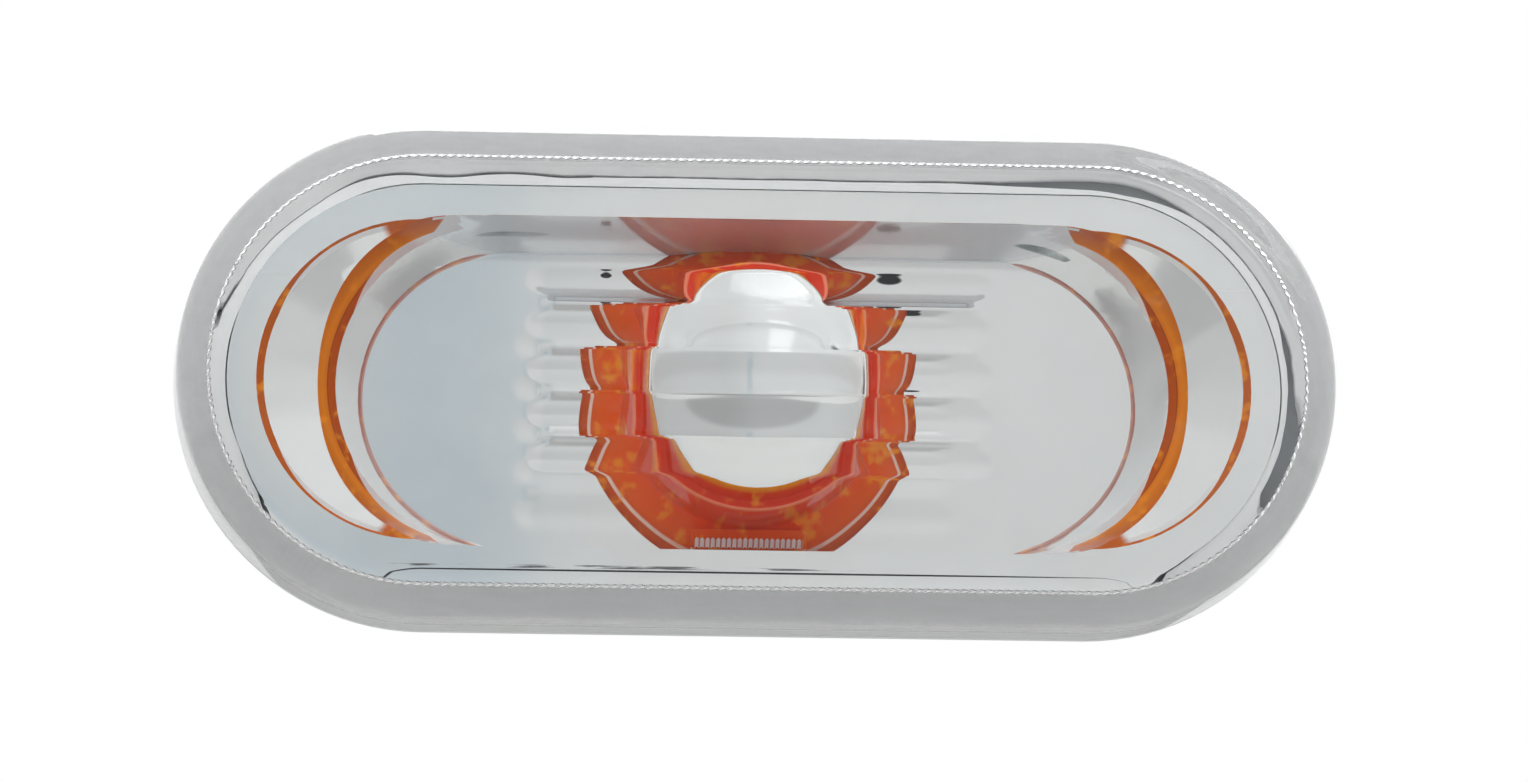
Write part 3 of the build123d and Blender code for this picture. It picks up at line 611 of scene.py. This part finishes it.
# Lens
# A clear acrylic moulding with a skirt, a rounded edge and a gently crowned front. Five ball-ended
# flutes lie across its inner face, and break what is behind them into steps.
SEAM = 3.3
LENS_DEPTH = 9.7
LENS_FRONT = SEAM + LENS_DEPTH
LENS_WALL = 2.2
SKIRT_WALL = 2.8
SKIRT_DRAFT = 0.6
EDGE_RADIUS = 4.0
INNER_EDGE_RADIUS = 0.20
CROWN_RADIUS = 400.0
FLUTE_COUNT = 5
FLUTE_PITCH = 3.72
FLUTE_RADIUS = 4.2
FLUTE_RUN = 37.4
FLUTE_FADE = 1.6                      # length over which each end dies away
FLUTE_EDGE = 1.15                     # outer edge of the outermost flutes, from their axes
FIELD_HALF = 12.0                     # half height of the inner face that the first grid covers
RIB_DEPTH = 0.08                      # fine ribs round the inner corner, either side of its face
CUSP_BLUR = 0.20                      # half width over which the cutter rounded the cusps
CUSP_SAMPLES = range(-4, 5)
FLUTE_ROWS = 16                       # rows to one flute
PLAIN_ROWS = 36                       # rows above the flutes, and again below them
FLUTE_COLUMNS = 120
PLAIN_COLUMNS = 15                    # columns beyond each end of the flutes
EDGE_STEPS = 10
CROWN_STEPS = 4
SPINE_HALF = (LAMP_LENGTH - LAMP_HEIGHT) / 2 / MM
lens_half = LAMP_HEIGHT / 2 / MM
inner_front = LENS_FRONT - LENS_WALL
inner_crown = CROWN_RADIUS - LENS_WALL
flute_axes = [(index - (FLUTE_COUNT - 1) / 2) * FLUTE_PITCH for index in range(FLUTE_COUNT)]
fluted_half = flute_axes[-1] + FLUTE_EDGE
flute_proud = FLUTE_RADIUS - math.sqrt(FLUTE_RADIUS**2 - FLUTE_EDGE**2)


def flute_rise(along, height):
    """How far a flute stands above the plain inner face, at a distance from the middle and a height."""
    if abs(height) > fluted_half:
        return 0.0
    off_axis = min(abs(height - axis) for axis in flute_axes)
    past = max(along - FLUTE_RUN / 2, 0.0)
    return math.sqrt(FLUTE_RADIUS**2 - off_axis**2 - past**2) - (FLUTE_RADIUS - flute_proud)


# The inner face is a grid whose rows lie along the flutes and whose columns follow their ball ends.
# Rows crowd towards the cusps, and columns towards the flutes' ends.
fluted_turn = math.asin(fluted_half / FIELD_HALF)
upper_heights = [
    FIELD_HALF * math.sin(fluted_turn + (math.pi / 2 - fluted_turn) * step / PLAIN_ROWS)
    for step in range(1, PLAIN_ROWS + 1)]
flute_bounds = [-fluted_half] + [axis + FLUTE_PITCH / 2 for axis in flute_axes[:-1]] + [fluted_half]
flute_heights = [-fluted_half]
for lower, upper in zip(flute_bounds, flute_bounds[1:]):
    for step in range(1, FLUTE_ROWS + 1):
        share = 2 * step / FLUTE_ROWS - 1
        share = 0.55 * share + 0.45 * math.sin(math.pi / 2 * share)
        flute_heights.append((lower + upper) / 2 + (upper - lower) / 2 * share)
row_heights = [-height for height in reversed(upper_heights)] + flute_heights + upper_heights
rows = len(row_heights) - 1
columns = FLUTE_COLUMNS + 2 * PLAIN_COLUMNS
bpy.ops.object.select_all(action="DESELECT")
bpy.ops.mesh.primitive_grid_add(x_subdivisions=columns, y_subdivisions=rows, size=2.0)
lens = bpy.context.object
lens.name = "lamp_lens"
rib = lens.data.attributes.new("rib", "FLOAT", "POINT")
for vertex in lens.data.vertices:
    column = round((vertex.co.x + 1) / 2 * columns) - columns // 2
    row = round((vertex.co.y + 1) / 2 * rows)
    height = row_heights[row]
    rib.data[vertex.index].value = 1.0 if (column + row) % 2 else -1.0
    off_axis = min(abs(height - axis) for axis in flute_axes)
    flute_end = FLUTE_RUN / 2 + math.sqrt(max(FLUTE_EDGE**2 - off_axis**2, 0.0))
    row_end = SPINE_HALF + math.sqrt(max(FIELD_HALF**2 - height**2, 0.0))
    share = min(abs(column) / (FLUTE_COLUMNS / 2), 1.0)
    beyond = max(abs(column) - FLUTE_COLUMNS / 2, 0.0) / PLAIN_COLUMNS
    along = flute_end * (1.4 * share - 0.4 * share**3) + (row_end - flute_end) * beyond
    evenly = max(abs(height) - fluted_half, 0.0) / (FIELD_HALF - fluted_half)
    along += (row_end * abs(column) / (columns / 2) - along) * evenly
    rise = 0.0
    if abs(column) < FLUTE_COLUMNS / 2:
        run_out = min((flute_end - along) / FLUTE_FADE, 1.0)
        for sample in CUSP_SAMPLES:
            rise += flute_rise(along, height + CUSP_BLUR * sample / CUSP_SAMPLES[-1]) / len(CUSP_SAMPLES)
        rise *= run_out * run_out * (3 - 2 * run_out)
    from_spine = math.hypot(max(along - SPINE_HALF, 0.0), height)
    crowned = inner_front - inner_crown + math.sqrt(inner_crown**2 - from_spine**2)
    vertex.co = Vector((math.copysign(along, column), rise - crowned, height)) * MM


def cover_section(half_height, front, radius, edge_radius, last):
    """The cover's section from its foot round its edge and in over its crown, as (half height, level)."""
    lean = math.atan(SKIRT_DRAFT / LENS_DEPTH)
    centre_level = front - edge_radius
    for _ in range(4):
        centre_half = half_height - edge_radius / math.cos(lean) - math.tan(lean) * (centre_level - SEAM)
        centre_level = front - radius + math.sqrt((radius - edge_radius) ** 2 - centre_half**2)
    crown_turn = math.atan2(centre_level - front + radius, centre_half)
    section = [(half_height, SEAM)]
    for step in range(EDGE_STEPS + 1):
        turn = lean + (crown_turn - lean) * step / EDGE_STEPS
        section.append((
            centre_half + edge_radius * math.cos(turn), centre_level + edge_radius * math.sin(turn)))
    edge_half = section[-1][0]
    for step in range(1, CROWN_STEPS + 1):
        half = edge_half + (last - edge_half) * step / CROWN_STEPS
        section.append((half, front - radius + math.sqrt(radius**2 - half**2)))
    return section


def carry_rim(piece, section, ribbed=()):
    """Extrudes a piece's open rim step by step, each time to the stadium of a half height and a level."""
    bpy.ops.object.mode_set(mode="EDIT")
    bpy.ops.mesh.select_mode(type="EDGE")
    bpy.ops.mesh.select_all(action="DESELECT")
    bpy.ops.mesh.select_non_manifold()
    for step, (half, level) in enumerate(section):
        bpy.ops.mesh.extrude_edges_move()
        shape = bmesh.from_edit_mesh(piece.data)
        sides = shape.verts.layers.float.get("rib")
        for vertex in shape.verts:
            if vertex.select:
                spine = min(max(vertex.co.x, -SPINE_HALF * MM), SPINE_HALF * MM)
                outward = Vector((vertex.co.x - spine, 0.0, vertex.co.z)).normalized()
                relief = RIB_DEPTH * vertex[sides] if step in ribbed else 0.0
                vertex.co = Vector((spine, -level * MM, 0.0)) + outward * (half + relief) * MM
        bmesh.update_edit_mesh(piece.data)


inner_section = cover_section(
    lens_half - SKIRT_WALL, inner_front, inner_crown, INNER_EDGE_RADIUS, FIELD_HALF)
outer_section = cover_section(lens_half, LENS_FRONT, CROWN_RADIUS, EDGE_RADIUS, 1.0)
inner_outwards = [*reversed(inner_section[:-1])]
skirt_top = len(inner_outwards) - 2
carry_rim(lens, inner_outwards + outer_section, ribbed=range(skirt_top - EDGE_STEPS + 2, skirt_top))
bpy.ops.mesh.edge_face_add()
bpy.ops.mesh.select_all(action="SELECT")
bpy.ops.mesh.normals_make_consistent(inside=False)
bpy.ops.object.mode_set(mode="OBJECT")
bpy.ops.object.shade_smooth_by_angle(angle=math.radians(11))

# Clear acrylic from a polished tool: colourless, with hard glints on its edge, and a faint ripple that
# makes what lies behind it swim a little.
tree, clear_acrylic = blank_material("clear_moulded_acrylic")
place = node(tree, "TexCoord").outputs["Object"]
ripple = node(tree, "TexNoise", {"Vector": place, "Scale": 1 / (11 * MM), "Detail": 1.0})
relief = node(tree, "Bump", {"Height": ripple, "Strength": 0.1, "Distance": 0.02 * MM})
surface = node(tree, "BsdfPrincipled", {
    "Base Color": srgb("#fbfcfc"), "Roughness": 0.0, "IOR": 1.49, "Transmission Weight": 1.0,
    "Specular Tint": srgb("#a0a0a0"), "Normal": relief})
node(tree, "OutputMaterial", {"Surface": surface})
lens.data.materials.append(clear_acrylic)
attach(lens, "root")
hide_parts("lens")

# Weld
# The skirt is welded to the flange by a hot plate, so that the two have no air between them and the
# grey of the flange shows all the way up the skirt.
WELD_DEPTH = 0.30
WELD_MARGIN = 0.015
WELD_LEAN = 0.02
RING_POINTS = 720


def stadium_loop(name, half_height, level, count):
    """An open loop of points spread evenly round a stadium, made from a circle."""
    bpy.ops.object.select_all(action="DESELECT")
    bpy.ops.mesh.primitive_circle_add(vertices=count, radius=1.0, fill_type="NOTHING")
    piece = bpy.context.object
    piece.name = name
    arc = math.pi * half_height
    perimeter = 4 * SPINE_HALF + 2 * arc
    for vertex in piece.data.vertices:
        walked = (math.atan2(vertex.co.y, vertex.co.x) / (2 * math.pi) % 1.0) * perimeter
        side = 1 if walked < perimeter / 2 else -1
        walked = walked % (perimeter / 2)
        if walked < arc:
            turn = walked / half_height - math.pi / 2
            x, z = SPINE_HALF + half_height * math.cos(turn), half_height * math.sin(turn)
        else:
            x, z = SPINE_HALF - (walked - arc), half_height
        vertex.co = Vector((side * x, -level, side * z)) * MM
    return piece


def close_ring(piece, material):
    """Welds a ring's last loop to its first, turns its faces outwards and hands it to the lamp's body."""
    bpy.ops.mesh.select_all(action="SELECT")
    bpy.ops.mesh.remove_doubles(threshold=0.001 * MM)
    bpy.ops.mesh.normals_make_consistent(inside=False)
    bpy.ops.object.mode_set(mode="OBJECT")
    piece.data.materials.append(material)
    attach(piece, "root")


weld_outer = lens_half - WELD_MARGIN
weld_inner = lens_half - SKIRT_WALL - WELD_MARGIN
weld_top = SEAM + WELD_DEPTH
weld = stadium_loop("weld_seam", weld_outer, SEAM, RING_POINTS)
carry_rim(weld, [
    (weld_outer - WELD_LEAN, weld_top), (weld_inner - WELD_LEAN, weld_top), (weld_inner, SEAM),
    (weld_outer, SEAM)])
# Weld ring ABS, painted paler than the housing as painted light, and dull, which the skirt carries up to
# the eye.
weld_ring_painted_pale = moulded_plastic("weld_ring_painted_light_abs", "#dfe0e2", "#e5e6e7", 0.5, 0.3 * MM, 0.02 * MM)
close_ring(weld, weld_ring_painted_pale)

# Weld flash
# Where the hot plate met the skirt, melt was squeezed into the groove beside the reflector's rim, and is
# painted pale as light. It froze in two beads with an uneven dark gap between them, widest at the top
# right and the right end.
GROOVE_OUTER = lens_half - SKIRT_WALL - 0.03
RIM_EDGE = 16.45
GROOVE_INNER = 16.58
GAP_MIDDLE = 17.45
GAP_HALF = 0.045
GAP_LEAST = 0.02
WAVY_FROM = -14.0                     # left of this the gap along the top wanders
WIDE_FROM, WIDE_TO = 17.0, 37.0       # between these the gap along the top is wide
END_LOW, END_HIGH = -12.0, 6.0        # between these heights it is wide at the right end
END_OVERLAP = 0.01                    # at the left end the beads run into each other
SLOT_CLOSED_BY = 0.115
MELT_FOOT = SEAM + 0.01
GAP_SHADE_TOP = SEAM + 0.05


def flash_gap(x, z, outward):
    """The gap's middle and half width, as half heights, at a point of the groove in millimetres."""
    slow, fast = noise.noise(Vector((x, z, 0.0)) / 5.0), noise.noise(Vector((x, z, 3.0)) / 1.4)
    middle = GAP_MIDDLE + 0.08 * slow + 0.03 * fast
    half = GAP_HALF + 0.03 * fast
    if outward.z > 0.5 and x < WAVY_FROM:
        middle += 0.22 * math.sin(x / 1.9) * min((WAVY_FROM - x) / 4, 1.0) * outward.z
        half += 0.05
    if outward.z > 0.5 and x > WIDE_FROM:
        half += 0.42 * max(min((x - WIDE_FROM) / 13, (WIDE_TO - x) / 5), 0.0) + 0.05 * slow
    if outward.x > 0.5 and END_LOW < z < END_HIGH:
        half += (0.26 + 0.16 * slow + 0.06 * fast) * min((z - END_LOW) / 3, (END_HIGH - z) / 2, 1.0)
    left_end = min(max((-outward.x - 0.25) / 0.2, 0.0), 1.0)
    return middle, max(half, GAP_LEAST) * (1 - left_end) - END_OVERLAP * left_end


def slot_closed(outward):
    """1 where the lens's corner magnifies the slot beside the rim and the melt reaches nearer to it."""
    sideways, upright = abs(outward.x), abs(outward.z)
    if outward.x > 0 and outward.z > 0:
        return 0.0
    return min(max((sideways - 0.25) / 0.15, 0.0), 1.0) * min(max((upright - 0.20) / 0.15, 0.0), 1.0)


def groove_bead(name, side, section):
    """A bead of melt along one side of the groove. The section's last two points lie on the gap."""
    bead = stadium_loop(name, section[0][0], section[0][1], RING_POINTS)
    carry_rim(bead, section[1:] + section[:1])
    close_ring(bead, squeezed_melt)
    for vertex in bead.data.vertices:
        spine = min(max(vertex.co.x, -SPINE_HALF * MM), SPINE_HALF * MM)
        outward = Vector((vertex.co.x - spine, 0.0, vertex.co.z))
        away = (outward.length / MM - section[0][0]) / (section[-1][0] - section[0][0])
        outward.normalize()
        middle, half = flash_gap(vertex.co.x / MM, vertex.co.z / MM, outward)
        edge = min(max(middle + side * half, GROOVE_INNER + 0.1), GROOVE_OUTER - 0.1)
        shifted = section[0][0] + (edge - section[0][0]) * away
        if side < 0:
            shifted -= SLOT_CLOSED_BY * slot_closed(outward) * (1 - away)
        vertex.co = Vector((spine, vertex.co.y, 0.0)) + outward * shifted * MM
    bpy.ops.object.shade_smooth_by_angle(angle=math.radians(40))


# Squeezed-out melt with a soft sheen, painted paler than the moulding as light in the groove.
squeezed_melt = moulded_plastic("squeezed_weld_melt", "#edeef0", "#f5f6f6", 0.45, 0.3 * MM, 0.02 * MM)
groove_bead("weld_flash_outer", 1, [
    (GROOVE_OUTER, MELT_FOOT), (GROOVE_OUTER, 4.30), (GAP_MIDDLE + 0.25, 4.22), (GAP_MIDDLE + 0.06, 4.12),
    (GAP_MIDDLE + 0.02, 3.95), (GAP_MIDDLE, MELT_FOOT)])
groove_bead("weld_flash_inner", -1, [
    (GROOVE_INNER, MELT_FOOT), (GROOVE_INNER, 4.36), (GAP_MIDDLE - 0.25, 4.26), (GAP_MIDDLE - 0.06, 4.16),
    (GAP_MIDDLE - 0.02, 3.95), (GAP_MIDDLE, MELT_FOOT)])
# A thin ring on the groove's floor holds the painted shade of the gap.
gap_shade_outer, gap_shade_inner = GROOVE_OUTER - 0.05, RIM_EDGE + 0.02
painted_gap_shade = stadium_loop("weld_gap_painted_shade", gap_shade_outer, MELT_FOOT, RING_POINTS // 2)
carry_rim(painted_gap_shade, [
    (gap_shade_outer, GAP_SHADE_TOP), (gap_shade_inner, GAP_SHADE_TOP), (gap_shade_inner, MELT_FOOT),
    (gap_shade_outer, MELT_FOOT)])
# A darker grey ABS is painted on the groove's floor as shade, so that the gap reads as a dark line.
gap_shade_abs = moulded_plastic("painted_shade_grey_abs", "#86898c", "#9a9da0", 0.5, 0.3 * MM, 0.02 * MM)
close_ring(painted_gap_shade, gap_shade_abs)

# Panel gasket
# A die-cut ring of closed-cell foam rubber, stuck to the back of the flange.
# It keeps water out of the wing.
gasket = softened_copy("panel_gasket", "foam_gasket", 0.12 * MM)
# Foam rubber: black and quite dull, with the pitted skin of its cells.
foam_rubber = moulded_plastic("closed_cell_foam_rubber", "#1b1b1c", "#262627", 0.85, 0.4 * MM, 0.1 * MM)
gasket.data.materials.append(foam_rubber)

# Bulb holder and its seal
# The holder is moulded in black glass-filled nylon. It turns into the housing's collar, on a rubber
# ring that keeps the tub dry.
holder = softened_copy("bulb_holder", "quarter_turn_holder", 0.12 * MM)
# Glass-filled nylon: near black, with a fine matt bloom where the fibres reach the skin.
black_nylon = moulded_plastic("glass_filled_black_nylon", "#141415", "#1e1e20", 0.5, 0.2 * MM, 0.02 * MM)
holder.data.materials.append(black_nylon)
seal = softened_copy("holder_seal", "rubber_seal", 0.15 * MM)
# Moulded rubber: a softer black than the nylon's, with hardly a highlight.
seal_rubber = moulded_plastic("moulded_seal_rubber", "#202021", "#2a2a2b", 0.7, 0.3 * MM, 0.03 * MM)
seal.data.materials.append(seal_rubber)

# Contacts
# Two strips of tinned brass, each blanked, folded into a blade and a leaf spring, and pushed into the
# holder from the front.
# Rolled and tinned strip: a warm grey metal whose gloss is streaked along the way it was rolled.
tree, tinned_brass = blank_material("tinned_brass_strip")
place = node(tree, "TexCoord").outputs["Object"]
drawn = node(tree, "Mapping", {"Vector": place, "Scale": (1 / MM, 0.05 / MM, 1 / MM)})
rolling = node(tree, "TexNoise", {"Vector": drawn, "Scale": 6.0, "Detail": 3.0})
tin = node(tree, "Mix", {"Factor": rolling, "A": srgb("#a9a597"), "B": srgb("#cfccc0")}, data_type="RGBA")
sheen = node(tree, "MapRange", {"Value": rolling, "To Min": 0.28, "To Max": 0.45})
surface = node(tree, "BsdfPrincipled", {"Base Color": tin, "Metallic": 1.0, "Roughness": sheen})
node(tree, "OutputMaterial", {"Surface": surface})
for side in ("left", "right"):
    strip = softened_copy(f"contact_{side}", f"contact_strip_{side}", 0.05 * MM)
    strip.data.materials.append(tinned_brass)

# Bulb
# A capless wedge bulb: a drawn glass capsule pinched flat over two lead wires, which carry a coiled
# tungsten filament and are folded back along the wedge.
WIRE_EDGE = 0.01 * MM
# Nickel-iron wire: a dull silver, mottled by the oxide of the glass-maker's flame.
tree, lead_wire = blank_material("nickel_iron_lead_wire")
place = node(tree, "TexCoord").outputs["Object"]
oxide = node(tree, "TexNoise", {"Vector": place, "Scale": 1 / (0.8 * MM), "Detail": 3.0})
wire = node(tree, "Mix", {"Factor": oxide, "A": srgb("#a7a39c"), "B": srgb("#cac8c3")}, data_type="RGBA")
surface = node(tree, "BsdfPrincipled", {"Base Color": wire, "Metallic": 1.0, "Roughness": 0.38})
node(tree, "OutputMaterial", {"Surface": surface})
for side in ("left", "right"):
    lead = softened_copy(
        f"bulb_lead_{side}", f"lead_wire_{side}", WIRE_EDGE, segments=1, sharp=60.0, smooth=40.0)
    lead.data.materials.append(lead_wire)

# Drawn tungsten: a dark grey metal. The coil's turns, drawn coarser than they are, band it light and dark.
tree, tungsten = blank_material("coiled_tungsten")
place = node(tree, "TexCoord").outputs["Object"]
turns = node(tree, "TexWave", {"Vector": place, "Scale": 1 / (1.2 * MM)},
             wave_type="BANDS", bands_direction="X").outputs["Fac"]
coil = node(tree, "Mix", {"Factor": turns, "A": srgb("#3a3a3c"), "B": srgb("#77777a")}, data_type="RGBA")
groove = node(tree, "Bump", {"Height": turns, "Strength": 0.6, "Distance": 0.05 * MM})
surface = node(tree, "BsdfPrincipled", {
    "Base Color": coil, "Metallic": 1.0, "Roughness": 0.42, "Normal": groove})
node(tree, "OutputMaterial", {"Surface": surface})
filament = softened_copy(
    "bulb_filament", "tungsten_filament", WIRE_EDGE, segments=1, sharp=60.0, smooth=40.0)
filament.data.materials.append(tungsten)

# Drawn soda glass: clear with a trace of green, and slow waves along the way that it was drawn.
tree, lamp_glass = blank_material("drawn_bulb_glass")
place = node(tree, "TexCoord").outputs["Object"]
drawing = node(tree, "Mapping", {"Vector": place, "Scale": (0.4 / MM, 0.05 / MM, 0.4 / MM)})
waves = node(tree, "TexNoise", {"Vector": drawing, "Scale": 1.0, "Detail": 1.0})
relief = node(tree, "Bump", {"Height": waves, "Strength": 0.15, "Distance": 0.03 * MM})
surface = node(tree, "BsdfPrincipled", {
    "Base Color": srgb("#f4f8f7"), "Roughness": 0.0, "IOR": 1.52, "Transmission Weight": 1.0,
    "Normal": relief})
node(tree, "OutputMaterial", {"Surface": surface})
bulb = softened_copy("bulb_glass", "wedge_bulb_glass", 0.05 * MM, segments=1, sharp=40.0, smooth=40.0)
bulb.data.materials.append(lamp_glass)
